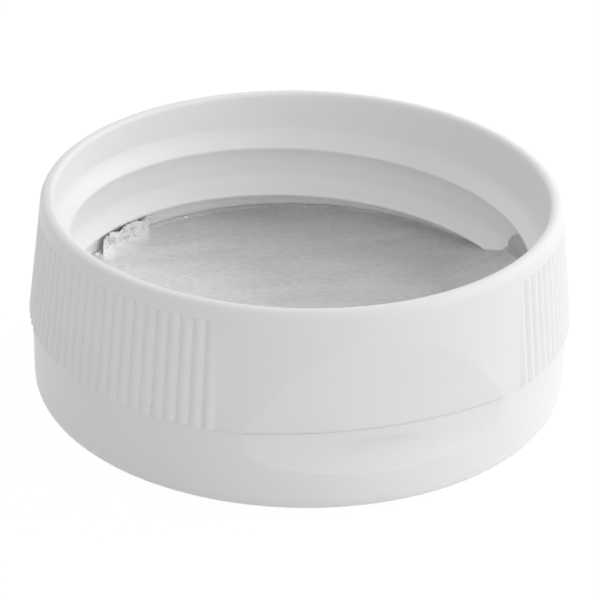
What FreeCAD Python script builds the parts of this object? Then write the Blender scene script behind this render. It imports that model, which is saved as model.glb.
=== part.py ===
import FreeCAD, Part
import math
import os

import Sketcher
from FreeCAD import Placement, Rotation, Vector

# A flip-top closure for a 38 mm wide-mouth bottle, as it lies on a bench: upside down on its lid, mouth up.
# The origin is the centre of the lid's outer face, +Z points out of the mouth, and the thumb scoop faces -Y.
# The lid turns about the film hinge at the back, +Y. All sizes are in millimetres and degrees.

doc = FreeCAD.newDocument("FlipTopCap")
sheet = doc.addObject("Spreadsheet::Sheet", "Dim")

SIZES = [
    # Outer form of the closure.
    ("overall_height", 16.2, "from the lid's outer face to the rim of the mouth"),
    ("bore_radius", 18.9, "radius of the mouth's wall between the thread's turns"),
    ("rim_wall", 1.1, "thickness of the mouth's wall at the rim"),
    ("seam_wall", 1.9, "thickness of the plain wall at the seam with the lid"),
    ("seam_height", 6.6, "height of the lid's edge above its outer face"),
    ("seam_gap", 0.08, "gap between the lid's edge and the wall that it closes on"),
    ("rim_outer_round", 0.7, "rounding of the rim's outer edge"),
    ("rim_inner_chamfer", 0.3, "chamfer of the rim's inner edge"),
    # Grip ribs.
    ("rib_top_drop", 1.3, "plain band between the rim and the ribs' upper ends"),
    ("rib_stand", 0.2, "how far the ribs' crests stand out of the plain wall at the seam"),
    ("rib_depth", 0.26, "depth of the valleys between the ribs, from their crests"),
    ("ribs_per_turn", 126, "ribs that would fill a whole turn"),
    ("front_panel_half_angle", 34.3, "half of the plain panel round the thumb scoop"),
    ("back_panel_half_angle", 22.0, "half of the plain panel round the hinge"),
    # Seal liner.
    ("liner_face_height", 5.95, "height of the liner's foil face"),
    ("liner_thickness", 0.5, "thickness of the seal liner"),
    ("liner_edge_gap", 0.6, "gap between the liner's edge and the mouth's wall"),
    ("tab_gap", 0.1, "gap between the folded tabs and the thread's crest"),
    ("tab_thickness", 0.25, "thickness of the folded tabs"),
    ("low_tab_height", 1.9, "height of the low, crumpled tab over the foil"),
    ("low_tab_angle", 125.3, "direction of the low tab's middle, from +X"),
    ("low_tab_spread", 22.0, "angle that the low tab spans"),
    ("tall_tab_height", 4.3, "height of the tall, rounded tab over the foil"),
    ("tall_tab_angle", -0.9, "direction of the tall tab's middle, from +X"),
    ("tall_tab_spread", 17.0, "angle that the tall tab spans"),
    ("tall_tab_round", 2.9, "radius of the tall tab's rounded end"),
    # Thread.
    ("thread_pitch", 4.233, "pitch of the right-hand thread, six turns an inch"),
    ("thread_depth", 1.2, "how far the thread stands out of the mouth's wall"),
    ("thread_crest_width", 0.6, "width of the thread's flat crest"),
    ("thread_root_width", 2.3, "width of the thread at the wall"),
    ("thread_bite", 0.3, "how far the thread's root sinks into the wall"),
    ("thread_lead", 2.91, "from the rim down to the thread's centre line at its outer end"),
    ("thread_turns", 1.58, "turns of the thread"),
    ("thread_foot_angle", 19.6, "direction of the thread's inner end, from +X"),
    ("thread_ramp_angle", 60.0, "angle of the run-out at each end of the thread, from the radius"),
    ("liner_clearance", 0.06, "clearance between the liner's face and what stands over it"),
    # Deck, spout, boss and snap bead.
    ("deck_thickness", 1.3, "thickness of the deck that carries the liner"),
    ("boss_wall", 0.55, "thickness of the boss that the lid closes over, outside the mouth's radius"),
    ("boss_chamfer", 0.4, "chamfer on the boss's edge"),
    ("snap_bead_height", 0.14, "height of the snap bead on the boss"),
    ("snap_bead_half_width", 0.35, "half of the snap bead's width"),
    ("orifice_radius", 3.175, "radius of the dispensing orifice"),
    ("spout_wall", 1.2, "wall of the spout"),
    ("spout_height", 1.5, "height of the spout over the deck"),
    # Lid.
    ("lid_edge_step", 0.05, "how far the lid's edge stays inside the plain wall over it"),
    ("lid_draft", 0.07, "how far the lid's wall draws in between its edge and its rounded corner"),
    ("lid_corner_round", 1.5, "rounding of the lid's outer corner"),
    ("lid_plate", 1.3, "thickness of the lid's plate"),
    ("lid_clearance", 0.3, "clearance between the boss and the lid's wall"),
    ("plug_tip_clearance", 0.45, "clearance of the plug's tip in the orifice"),
    ("plug_root_clearance", 0.25, "clearance of the plug's root in the orifice"),
    ("plug_wall", 0.8, "wall of the plug ring"),
    ("plug_reach", 0.6, "how far the plug stops short of the liner"),
    # Thumb scoop.
    ("scoop_top_drop", 1.05, "how far the scoop starts below the ribs' upper ends"),
    ("scoop_depth", 0.66, "depth of the scoop's floor in the wall at the seam"),
    ("scoop_floor_radius", 26.7, "radius of the scoop's floor, seen along Z"),
    ("scoop_blend_drop", 0.4, "how far below the seam the floor starts to curve out to its lip"),
    ("scoop_lip_round", 7.0, "radius of the curve from the floor to the lip"),
    ("scoop_overcut", 3.0, "how far the scoop's tool reaches past the wall"),
    # Film hinge.
    ("hinge_pad_stand", 0.2, "how far the hinge pads stand out of the plain wall at the seam"),
    ("hinge_pad_width", 9.0, "width of the hinge pads"),
    ("hinge_pad_height", 1.2, "height of the hinge pads' flat faces"),
    ("film_outer_radius", 0.5, "outer radius of the folded film"),
    ("film_thickness", 0.25, "thickness of the film"),
    ("film_width", 8.0, "width of the film"),
]


def fill_sheet():
    """Writes each size to the sheet as a name, its number and what it is, and gives the number its alias."""
    for row, (alias, value, meaning) in enumerate(SIZES, start=1):
        sheet.set(f"A{row}", alias)
        sheet.set(f"B{row}", str(value))
        sheet.set(f"C{row}", meaning)
        sheet.setAlias(f"B{row}", alias)
    doc.recompute()


fill_sheet()

# Heights and radii that several pieces share, each worked out from the sizes above.
RIM_RADIUS = "(Dim.bore_radius + Dim.rim_wall)"
SEAM_RADIUS = "(Dim.bore_radius + Dim.seam_wall)"
BOSS_RADIUS = "(Dim.bore_radius + Dim.boss_wall)"
LID_BORE = f"({BOSS_RADIUS} + Dim.lid_clearance)"
PAD_FACE = f"({SEAM_RADIUS} + Dim.hinge_pad_stand)"
THREAD_CREST = "(Dim.bore_radius - Dim.thread_depth)"
BASE_FOOT = "(Dim.seam_height + Dim.seam_gap)"
SEAM_MIDDLE = "(Dim.seam_height + Dim.seam_gap / 2)"
RIB_TOP = "(Dim.overall_height - Dim.rib_top_drop)"
RIM_SHOULDER = "(Dim.overall_height - Dim.rim_outer_round)"
WALL_SLOPE = f"(({SEAM_RADIUS} - {RIM_RADIUS}) / ({RIM_SHOULDER} - {BASE_FOOT}))"
DECK_INNER = "(Dim.liner_face_height - Dim.liner_thickness)"
DECK_OUTER = f"({DECK_INNER} - Dim.deck_thickness)"
SNAP_HEIGHT = f"(({DECK_OUTER} + Dim.boss_chamfer + {BASE_FOOT}) / 2)"
TAB_OUTER = f"({THREAD_CREST} - Dim.tab_gap)"
TAB_INNER = f"({TAB_OUTER} - Dim.tab_thickness)"
TAB_FOOT = "(Dim.liner_face_height - Dim.liner_thickness / 2)"
THREAD_FOOT = "(Dim.overall_height - Dim.thread_lead - Dim.thread_pitch * Dim.thread_turns)"


def wall_radius(height):
    """The plain wall's outer radius at a height, as an expression: the draft flares it to the seam."""
    return f"({RIM_RADIUS} + {WALL_SLOPE} * ({RIM_SHOULDER} - {height}))"


RIB_TOP_RADIUS = wall_radius(RIB_TOP)
BAND_CORE = f"(({BOSS_RADIUS} + {RIB_TOP_RADIUS} - Dim.rib_depth) / 2)"


def value(expression):
    """The number that an expression of the sheet's sizes comes to."""
    return float(sheet.evalExpression(expression))


def bind(target, **expressions):
    """Binds properties of an object to expressions; a double underscore in a name stands for a dot."""
    for name, expression in expressions.items():
        target.setExpression(name.replace("__", "."), expression)


def part(kind, name, **expressions):
    """A primitive or an operation of the Part workbench, with its properties bound to the sizes."""
    item = doc.addObject("Part::" + kind, name)
    bind(item, **expressions)
    return item


def combine(kind, name, shapes):
    """The union or the common part of several shapes."""
    item = doc.addObject("Part::" + kind, name)
    item.Shapes = shapes
    return item


def cut(name, base, tool):
    """What is left of one shape when another is taken away."""
    item = doc.addObject("Part::Cut", name)
    item.Base = base
    item.Tool = tool
    return item


def arc_geometry(start, end, radius, bulge):
    """An arc between two points, which bulges to the right or left of the way from start to end."""
    if bulge == "left":
        start, end = end, start
    half_chord = math.dist(start, end) / 2
    rise = math.sqrt(max(radius**2 - half_chord**2, 0))
    along_x = (end[0] - start[0]) / (2 * half_chord)
    along_y = (end[1] - start[1]) / (2 * half_chord)
    centre_x = (start[0] + end[0]) / 2 - along_y * rise
    centre_y = (start[1] + end[1]) / 2 + along_x * rise
    first = math.atan2(start[1] - centre_y, start[0] - centre_x)
    last = math.atan2(end[1] - centre_y, end[0] - centre_x)
    circle = Part.Circle(Vector(centre_x, centre_y, 0), Vector(0, 0, 1), radius)
    return Part.ArcOfCircle(circle, first, last)


def draw_outline(sketch, corners, arcs=None):
    """Draws a closed outline in a sketch, with every corner and every arc's radius bound to the sizes.

    Each corner is a pair of expressions, across and up. arcs maps the number of a side, counted from the
    corner that it leaves, to its radius, as an expression, and the way that it bulges; others are straight.
    """
    arcs = arcs or {}
    places = [(value(across), value(up)) for across, up in corners]
    for side, start in enumerate(places):
        end = places[(side + 1) % len(places)]
        if side in arcs:
            radius, bulge = arcs[side]
            sketch.addGeometry(arc_geometry(start, end, value(radius), bulge))
        else:
            sketch.addGeometry(Part.LineSegment(Vector(*start, 0), Vector(*end, 0)))
    leaving = [2 if arcs.get(side, ("", ""))[1] == "left" else 1 for side in range(len(places))]
    for side in range(len(places)):
        after = (side + 1) % len(places)
        joint = (side, 3 - leaving[side], after, leaving[after])
        sketch.addConstraint(Sketcher.Constraint("Coincident", *joint))
    for side, corner in enumerate(corners):
        for kind, expression in zip(("DistanceX", "DistanceY"), corner):
            pin(sketch, kind, expression, (-1, 1, side, leaving[side]))
    for side, (radius, _) in arcs.items():
        pin(sketch, "Radius", radius, (side,))


def pin(sketch, kind, expression, places):
    """Adds one dimension to a sketch and binds it to an expression."""
    number = sketch.addConstraint(Sketcher.Constraint(kind, *places, value(expression)))
    sketch.setExpression(f"Constraints[{number}]", expression)


def new_body(name):
    """An empty body."""
    return doc.addObject("PartDesign::Body", name)


def sketch_in(body, name, plane):
    """A sketch on one of a body's own origin planes."""
    sketch = body.newObject("Sketcher::SketchObject", name)
    support = next(item for item in body.Origin.OriginFeatures if item.Role == plane)
    sketch.AttachmentSupport = [(support, "")]
    sketch.MapMode = "FlatFace"
    return sketch


def revolved_body(name, corners, arcs=None):
    """A body turned about Z from an outline of radii and heights."""
    body = new_body(name)
    sketch = sketch_in(body, name + "_outline", "XZ_Plane")
    draw_outline(sketch, corners, arcs)
    turn = body.newObject("PartDesign::Revolution", name + "_turned")
    turn.Profile = sketch
    turn.ReferenceAxis = (sketch, ["V_Axis"])
    turn.Angle = 360.0
    return body


def side_body(name, corners, width, arcs=None):
    """A body of one width across X, centred on the YZ plane, from an outline of depths and heights."""
    body = new_body(name)
    sketch = sketch_in(body, name + "_outline", "YZ_Plane")
    draw_outline(sketch, corners, arcs)
    pad = body.newObject("PartDesign::Pad", name + "_padded")
    pad.Profile = sketch
    pad.SideType = "Symmetric"
    bind(pad, Length=width)
    return body


def disc(name, radius, low, high, **more):
    """An upright cylinder between two heights."""
    return part("Cylinder", name, Radius=radius, Height=f"{high} - ({low})", Placement__Base__z=low, **more)


def rounded_corner(radius, centre, first, last):
    """The corners of a rounded edge as three flats, which keep its mesh light, from one angle to another."""
    across, up = centre
    turns = [first + (last - first) * step / 3 for step in range(4)]
    return [(f"{across} + {radius} * cos({turn})", f"{up} + {radius} * sin({turn})") for turn in turns]


def wall_and_deck():
    """The mouth's wall with its plain rim, the deck with the spout, and the boss with its snap bead.

    Between the seam and the ribs' top the wall stops at its core, which the ribbed band goes round.
    """
    spout_radius = "Dim.orifice_radius + Dim.spout_wall"
    spout_foot = f"{DECK_OUTER} - Dim.spout_height"
    rim_centre = (f"{RIM_RADIUS} - Dim.rim_outer_round", RIM_SHOULDER)
    corners = [
        ("Dim.orifice_radius", spout_foot),
        (spout_radius, spout_foot),
        (spout_radius, DECK_OUTER),
        (f"{BOSS_RADIUS} - Dim.boss_chamfer", DECK_OUTER),
        (BOSS_RADIUS, f"{DECK_OUTER} + Dim.boss_chamfer"),
        (BOSS_RADIUS, f"{SNAP_HEIGHT} - Dim.snap_bead_half_width"),
        (f"{BOSS_RADIUS} + Dim.snap_bead_height", SNAP_HEIGHT),
        (BOSS_RADIUS, f"{SNAP_HEIGHT} + Dim.snap_bead_half_width"),
        (BOSS_RADIUS, BASE_FOOT),
        (BAND_CORE, BASE_FOOT),
        (BAND_CORE, RIB_TOP),
        (RIB_TOP_RADIUS, RIB_TOP),
        *rounded_corner("Dim.rim_outer_round", rim_centre, 0, 90),
        ("Dim.bore_radius + Dim.rim_inner_chamfer", "Dim.overall_height"),
        ("Dim.bore_radius", "Dim.overall_height - Dim.rim_inner_chamfer"),
        ("Dim.bore_radius", DECK_INNER),
        ("Dim.orifice_radius", DECK_INNER),
    ]
    return revolved_body("wall_and_deck", corners)


def rib_group_angles():
    """The first and last angle of the ribs on one side, from -Y, and how many ribs lie between them."""
    pitch = 360 / value("Dim.ribs_per_turn")
    front = value("Dim.front_panel_half_angle")
    count = int((180 - value("Dim.back_panel_half_angle") - front) / pitch)
    return front, front + count * pitch, count


def rib_outline(name, height, plain_radius, crest_radius):
    """The wall's outline at one height: rounded ribs in two groups, and plain arcs at the front and back."""

    def at(radius, angle):
        """A point at an angle from -Y towards +X."""
        turn = math.radians(angle)
        return Vector(radius * math.sin(turn), -radius * math.cos(turn), height)

    first, last, count = rib_group_angles()
    half = (last - first) / count / 2
    depth = value("Dim.rib_depth")
    valley, shoulder = crest_radius - depth, crest_radius - depth / 4
    edges = [arc_through(at(plain_radius, -first), at(plain_radius, 0), at(plain_radius, first))]
    for side in (1, -1):
        crests = [first + half * (2 * number + 1) for number in range(count)][::side]
        ends = [first, last][::side]
        edges.append(Part.makeLine(at(plain_radius, side * ends[0]), at(crest_radius, side * crests[0])))
        for before, after in zip(crests, crests[1:]):
            middle = (before + after) / 2
            edges.append(falling_arc(at, side, before, middle, (crest_radius, shoulder, valley)))
            edges.append(falling_arc(at, side, middle, after, (valley, shoulder, crest_radius)))
        edges.append(Part.makeLine(at(crest_radius, side * crests[-1]), at(plain_radius, side * ends[1])))
        if side == 1:
            edges.append(arc_through(at(plain_radius, last), at(plain_radius, 180), at(plain_radius, -last)))
    outline = doc.addObject("Part::Feature", name)
    outline.Shape = Part.Wire(edges)
    return outline


def falling_arc(at, side, start, end, radii):
    """Half of a rounded rib, from its crest to a valley or back, through the point halfway."""
    angles = (start, (start + end) / 2, end)
    return arc_through(*[at(radius, side * angle) for radius, angle in zip(radii, angles)])


def arc_through(start, middle, end):
    """The edge of the circular arc through three points."""
    return Part.Arc(start, middle, end).toShape()


def ribbed_band():
    """The ring of wall from the seam to the ribs' top, flared by the mould's draft, with its grip ribs."""
    rib_seam_radius = value(f"{SEAM_RADIUS} + Dim.rib_stand")
    rib_top_radius = value(RIB_TOP_RADIUS)
    foot = rib_outline("rib_outline_foot", value(BASE_FOOT), value(SEAM_RADIUS), rib_seam_radius)
    top = rib_outline("rib_outline_top", value(RIB_TOP), rib_top_radius, rib_top_radius)
    loft = doc.addObject("Part::Loft", "ribbed_band_full")
    loft.Sections = [foot, top]
    loft.Solid = True
    loft.Ruled = True
    core = disc("ribbed_band_core", BOSS_RADIUS, "Dim.seam_height", "Dim.overall_height")
    return cut("ribbed_band", loft, core)


def thread():
    """The mouth's thread: one right-hand ridge on a helix, ramped off at both ends, clear of the liner."""
    helix = part(
        "Helix",
        "thread_helix",
        Pitch="Dim.thread_pitch",
        Height="Dim.thread_pitch * Dim.thread_turns",
        Radius="Dim.bore_radius",
    )
    root = value("Dim.bore_radius + Dim.thread_bite")
    crest = value(THREAD_CREST)
    half_crest = value("Dim.thread_crest_width / 2")
    flank_slope = value("(Dim.thread_root_width - Dim.thread_crest_width) / 2 / Dim.thread_depth")
    half_root = half_crest + flank_slope * (root - crest)
    corners = [(crest, -half_crest), (root, -half_root), (root, half_root), (crest, half_crest)]
    section = doc.addObject("Part::Feature", "thread_section")
    section.Shape = Part.makePolygon([Vector(across, 0, up) for across, up in corners + corners[:1]])
    ridge = doc.addObject("Part::Sweep", "thread_ridge")
    ridge.Sections = [section]
    ridge.Spine = (helix, ["Edge1"])
    ridge.Solid = True
    ridge.Frenet = True
    bind(ridge, Placement__Base__z=THREAD_FOOT, Placement__Rotation__Angle="Dim.thread_foot_angle")
    below = disc("thread_floor", SEAM_RADIUS, "0", "Dim.liner_face_height + Dim.liner_clearance")
    end = "Dim.thread_foot_angle + 360 * Dim.thread_turns"
    foot_ramp = ramp_tool("thread_foot_ramp", "Dim.thread_foot_angle", "180 - Dim.thread_ramp_angle", "0")
    end_ramp = ramp_tool("thread_end_ramp", end, "90 + Dim.thread_ramp_angle", "Dim.thread_turns")
    return cut("thread", ridge, combine("MultiFuse", "thread_trims", [below, foot_ramp, end_ramp]))


def ramp_tool(name, angle, facing, turns):
    """A block, one pitch high, whose corner at the wall cuts off the thread's end along a ramp."""
    side = "6 * Dim.thread_depth"
    return part(
        "Box",
        name,
        Length=side,
        Width=side,
        Height="Dim.thread_pitch",
        Placement__Base__x=f"Dim.bore_radius * cos({angle})",
        Placement__Base__y=f"Dim.bore_radius * sin({angle})",
        Placement__Base__z=f"{THREAD_FOOT} + Dim.thread_pitch * ({turns} - 0.5)",
        Placement__Rotation__Angle=f"{angle} + {facing}",
    )


def scoop_tool():
    """What the thumb scoop takes away: all that lies in front of its gently curved floor and its lip."""
    floor_reach = f"({SEAM_RADIUS} - Dim.scoop_depth)"
    start = f"({RIB_TOP} - Dim.scoop_top_drop)"
    blend = "(Dim.seam_height - Dim.scoop_blend_drop)"
    lean = f"(({wall_radius(start)} - {floor_reach}) / ({start} - {blend}))"
    top = f"({start} + Dim.scoop_overcut / 2)"
    outer = "Dim.scoop_floor_radius + Dim.scoop_overcut"
    swing = "sqrt(Dim.scoop_lip_round ^ 2 - (Dim.scoop_lip_round - Dim.scoop_overcut) ^ 2)"
    corners = [
        (outer, f"{blend} - {swing}"),
        (outer, top),
        (f"Dim.scoop_floor_radius + {lean} * ({top} - {blend})", top),
        ("Dim.scoop_floor_radius", blend),
    ]
    body = revolved_body("scoop_tool", corners, {3: ("Dim.scoop_lip_round", "right")})
    bind(body, Placement__Base__y=f"Dim.scoop_floor_radius - {floor_reach}")
    return body


def hinge_pad(name, face, away):
    """A pad that carries the film: a flat face at the seam that slopes back into the wall."""
    inner = f"{LID_BORE} + Dim.seam_gap"
    flat = f"{face} {away} Dim.hinge_pad_height"
    back = f"{flat} {away} Dim.hinge_pad_height"
    corners = [(inner, face), (PAD_FACE, face), (PAD_FACE, flat), (inner, back)]
    return side_body(name, corners, "Dim.hinge_pad_width")


def closure_base():
    """The base: wall, deck, spout, ribs and thread in one moulding, with the scoop's upper part."""
    solid = combine(
        "MultiFuse",
        "base_solid",
        [wall_and_deck(), ribbed_band(), thread(), hinge_pad("base_hinge_pad", BASE_FOOT, "+")],
    )
    return cut("closure_base", solid, SCOOP)


def flip_lid():
    """The lid: a round cover with a rounded corner, a snap groove and a plug ring, and the scoop's lip."""
    edge = "Dim.seam_height"
    edge_radius = f"{SEAM_RADIUS} - Dim.lid_edge_step"
    foot_centre = f"{edge_radius} - Dim.lid_draft - Dim.lid_corner_round"
    plug_tip = "Dim.orifice_radius - Dim.plug_tip_clearance"
    plug_bore = f"{plug_tip} - Dim.plug_wall"
    plug_end = f"{DECK_INNER} - Dim.plug_reach"
    corners = [
        ("0", "0"),
        *rounded_corner("Dim.lid_corner_round", (foot_centre, "Dim.lid_corner_round"), -90, 0),
        (edge_radius, edge),
        (LID_BORE, edge),
        (LID_BORE, f"{SNAP_HEIGHT} + Dim.snap_bead_half_width"),
        (f"{LID_BORE} + Dim.snap_bead_height", SNAP_HEIGHT),
        (LID_BORE, f"{SNAP_HEIGHT} - Dim.snap_bead_half_width"),
        (LID_BORE, "Dim.lid_plate"),
        ("Dim.orifice_radius - Dim.plug_root_clearance", "Dim.lid_plate"),
        (plug_tip, plug_end),
        (plug_bore, plug_end),
        (plug_bore, "Dim.lid_plate"),
        ("0", "Dim.lid_plate"),
    ]
    shell = revolved_body("lid_shell", corners)
    solid = combine("MultiFuse", "lid_solid", [shell, hinge_pad("lid_hinge_pad", edge, "-")])
    return cut("flip_lid", solid, SCOOP)


def half_rod(name, radius):
    """A half cylinder along X on the hinge pads' faces, centred on the seam."""
    rod = doc.addObject("Part::Cylinder", name)
    rod.Placement = Placement(Vector(), Rotation(Vector(0, 1, 0), 90))
    bind(
        rod,
        Radius=radius,
        Height="Dim.film_width",
        Placement__Base__x="-Dim.film_width / 2",
        Placement__Base__y=PAD_FACE,
        Placement__Base__z=SEAM_MIDDLE,
    )
    rod.Angle = 180
    return rod


def living_hinge():
    """The film between the pads, folded into a half ring when the lid is shut."""
    outer = half_rod("film_outer", "Dim.film_outer_radius")
    return cut("living_hinge", outer, half_rod("film_inner", "Dim.film_outer_radius - Dim.film_thickness"))


def tab_ring(name, angle, spread, height):
    """A part of a thin upright ring that stands on the foil just inside the thread's crest."""
    top = f"Dim.liner_face_height + {height}"
    start = f"{angle} - {spread} / 2"
    outer = disc(name + "_outer", TAB_OUTER, TAB_FOOT, top, Angle=spread, Placement__Rotation__Angle=start)
    inner = disc(name + "_inner", TAB_INNER, "0", "Dim.overall_height")
    return cut(name, outer, inner)


def tall_tab():
    """The tall tab: a part of the same ring, with its top rounded."""
    square = tab_ring("tall_tab_square", "Dim.tall_tab_angle", "Dim.tall_tab_spread", "Dim.tall_tab_height")
    half_width = f"{TAB_INNER} * sin(Dim.tall_tab_spread / 2)"
    top = "Dim.liner_face_height + Dim.tall_tab_height"
    shoulder = f"{top} - Dim.tall_tab_round + sqrt(Dim.tall_tab_round ^ 2 - ({half_width}) ^ 2)"
    corners = [
        (f"-{half_width}", TAB_FOOT),
        (half_width, TAB_FOOT),
        (half_width, shoulder),
        (f"-{half_width}", shoulder),
    ]
    rounded = side_body("tall_tab_shape", corners, f"2 * {SEAM_RADIUS}", {2: ("Dim.tall_tab_round", "right")})
    bind(rounded, Placement__Rotation__Angle="Dim.tall_tab_angle")
    return combine("MultiCommon", "tall_tab", [square, rounded])


def seal_liner():
    """The foil-faced disc on the deck, with a low tab and a tall round-ended tab folded up from its edge."""
    face = disc("liner_disc", "Dim.bore_radius - Dim.liner_edge_gap", DECK_INNER, "Dim.liner_face_height")
    low = tab_ring("low_tab", "Dim.low_tab_angle", "Dim.low_tab_spread", "Dim.low_tab_height")
    return combine("MultiFuse", "seal_liner", [face, low, tall_tab()])


SCOOP = scoop_tool()
PIECES = [closure_base(), flip_lid(), living_hinge(), seal_liner()]
doc.recompute()


def check_document():
    """Stops with a message if an object of the document failed or a piece is not one valid solid."""
    for item in doc.Objects:
        if "Invalid" in item.State or "Error" in item.State:
            raise RuntimeError(f"{item.Name} could not be built: {item.State}")
    for piece in PIECES:
        shape = piece.Shape
        if shape.isNull() or not shape.isValid() or len(shape.Solids) != 1:
            raise RuntimeError(f"{piece.Label} is not one valid solid")
        print(f"{piece.Label}: {shape.Volume:.1f} cubic mm, {len(shape.Faces)} faces")


check_document()
os.makedirs("parts", exist_ok=True)
for piece in PIECES:
    piece.Shape.exportStep(os.path.join("parts", piece.Label + ".step"))
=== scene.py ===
"""Looks of a flip-top closure with a foil seal liner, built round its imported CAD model.

The closure lies on its lid with its mouth up. The base and the lid are modelled again ring by ring, with
true rounds and fine grip ribs, and the liner gets its curled and crumpled foil. Lengths are in metres.
"""

import logging
import math
from collections.abc import Callable
from dataclasses import dataclass
from enum import Enum

import bmesh
import bpy
from bmesh.types import BMVert
from bpy.types import Material, Node, NodeSocket, NodeTree, Object
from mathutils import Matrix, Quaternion, Vector

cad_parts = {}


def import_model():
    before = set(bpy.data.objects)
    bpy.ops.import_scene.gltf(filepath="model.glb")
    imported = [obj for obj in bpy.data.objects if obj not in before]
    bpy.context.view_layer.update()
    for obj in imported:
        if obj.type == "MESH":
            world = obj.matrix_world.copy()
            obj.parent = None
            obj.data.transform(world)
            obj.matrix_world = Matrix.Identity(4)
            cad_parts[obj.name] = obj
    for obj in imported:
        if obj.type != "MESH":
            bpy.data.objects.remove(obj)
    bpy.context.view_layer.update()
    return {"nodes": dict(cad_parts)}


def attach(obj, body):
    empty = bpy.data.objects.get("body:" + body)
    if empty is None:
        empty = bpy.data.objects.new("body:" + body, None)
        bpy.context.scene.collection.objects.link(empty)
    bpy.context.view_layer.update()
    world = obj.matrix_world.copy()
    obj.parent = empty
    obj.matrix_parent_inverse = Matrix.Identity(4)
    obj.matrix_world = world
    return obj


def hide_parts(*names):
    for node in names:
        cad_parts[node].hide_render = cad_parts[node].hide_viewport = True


MM = 0.001
TURN = 2 * math.pi
# Distances at which two vertices are merged, and at which two places count as one.
DOUBLED = 0.002 * MM
NEAR = 0.02 * MM
# Angles in degrees over which an edge stays sharp, on ribbed and on plain pieces.
SHARP = 44
EDGE = 25
# Octaves of the two noises in the shared uneven tone.
BROAD_DETAIL = 3
FINE_DETAIL = 4
LOG = logging.getLogger("closure")
Point = tuple[float, float]
Span = tuple[float, float]
Triple = tuple[float, float, float]
Colour = tuple[float, float, float]


class Body(Enum):
    """The bodies of the CAD model that a piece can ride on."""

    BASE = "base_body"
    LID = "lid_body"


class Slot(Enum):
    """The record's material slots."""

    PLASTIC = "polypropylene"
    FOIL = "foil_liner"


def switch(mode: str) -> None:
    """Switches the active object between edit and object mode."""
    bpy.ops.object.mode_set(mode=mode)


def settle() -> None:
    """Puts the active object's place, turn and scale into its mesh."""
    bpy.ops.object.transform_apply(location=True, rotation=True, scale=True)


def work_on(piece: Object) -> None:
    """Selects one piece alone and makes it active.

    Args:
        piece: The object to work on.
    """
    if bpy.context.object and bpy.context.object.mode != "OBJECT":
        switch("OBJECT")
    bpy.ops.object.select_all(action="DESELECT")
    piece.select_set(True)
    bpy.context.view_layer.objects.active = piece


def pick(piece: Object, wanted: Callable[[BMVert], bool]) -> None:
    """Selects the vertices of a piece in edit mode that pass a test."""
    chosen = [vertex.index for vertex in bmesh.from_edit_mesh(piece.data).verts if wanted(vertex)]
    pick_numbers(piece, chosen)


def pick_numbers(piece: Object, chosen: list[int]) -> None:
    """Selects vertices of a piece in edit mode by their numbers.

    Args:
        piece: The object being edited.
        chosen: The vertices' numbers.
    """
    bpy.ops.mesh.select_all(action="DESELECT")
    mesh = bmesh.from_edit_mesh(piece.data)
    mesh.verts.ensure_lookup_table()
    for number in chosen:
        mesh.verts[number].select = True
    mesh.select_flush_mode()
    bmesh.update_edit_mesh(piece.data)


def apply_modifier(piece: Object, kind: str, **settings: object) -> None:
    """Adds one modifier to a piece and applies it.

    Args:
        piece: The object to change.
        kind: The modifier's type.
        settings: The modifier's properties by name.
    """
    work_on(piece)
    modifier = piece.modifiers.new(kind.lower(), kind)
    for name, setting in settings.items():
        setattr(modifier, name, setting)
    bpy.ops.object.modifier_apply(modifier=modifier.name)


def close_up(piece: Object, smooth_degrees: float) -> None:
    """Merges doubled vertices, turns the faces outwards and smooths the gentle edges of a piece.

    Args:
        piece: The object to finish.
        smooth_degrees: Edges sharper than this angle stay sharp.
    """
    work_on(piece)
    switch("EDIT")
    bpy.ops.mesh.select_all(action="SELECT")
    bpy.ops.mesh.remove_doubles(threshold=DOUBLED)
    bpy.ops.mesh.normals_make_consistent(inside=False)
    switch("OBJECT")
    bpy.ops.object.shade_smooth_by_angle(angle=math.radians(smooth_degrees))


def cut_out(piece: Object, tool: Object) -> None:
    """Cuts a tool's shape out of a piece. The tool stays."""
    apply_modifier(piece, "BOOLEAN", operation="DIFFERENCE", solver="EXACT", object=tool)


def fuse(piece: Object, other: Object) -> None:
    """Fuses another object into a piece and removes it."""
    apply_modifier(piece, "BOOLEAN", operation="UNION", solver="EXACT", object=other)
    bpy.data.objects.remove(other)


def arc_points(centre: Point, radius: float, first: float, last: float, steps: int) -> list[Point]:
    """Points along an arc of a profile, by angles in degrees from outwards towards up."""
    turns = [math.radians(first + (last - first) * step / steps) for step in range(steps + 1)]
    return [(centre[0] + radius * math.cos(turn), centre[1] + radius * math.sin(turn)) for turn in turns]


def line_points(start: Point, end: Point, steps: int) -> list[Point]:
    """Points that divide a straight stretch of a profile, without its start and with its end."""
    shares = [step / steps for step in range(1, steps + 1)]
    rise, run = end[1] - start[1], end[0] - start[0]
    return [(start[0] + run * share, start[1] + rise * share) for share in shares]


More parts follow.
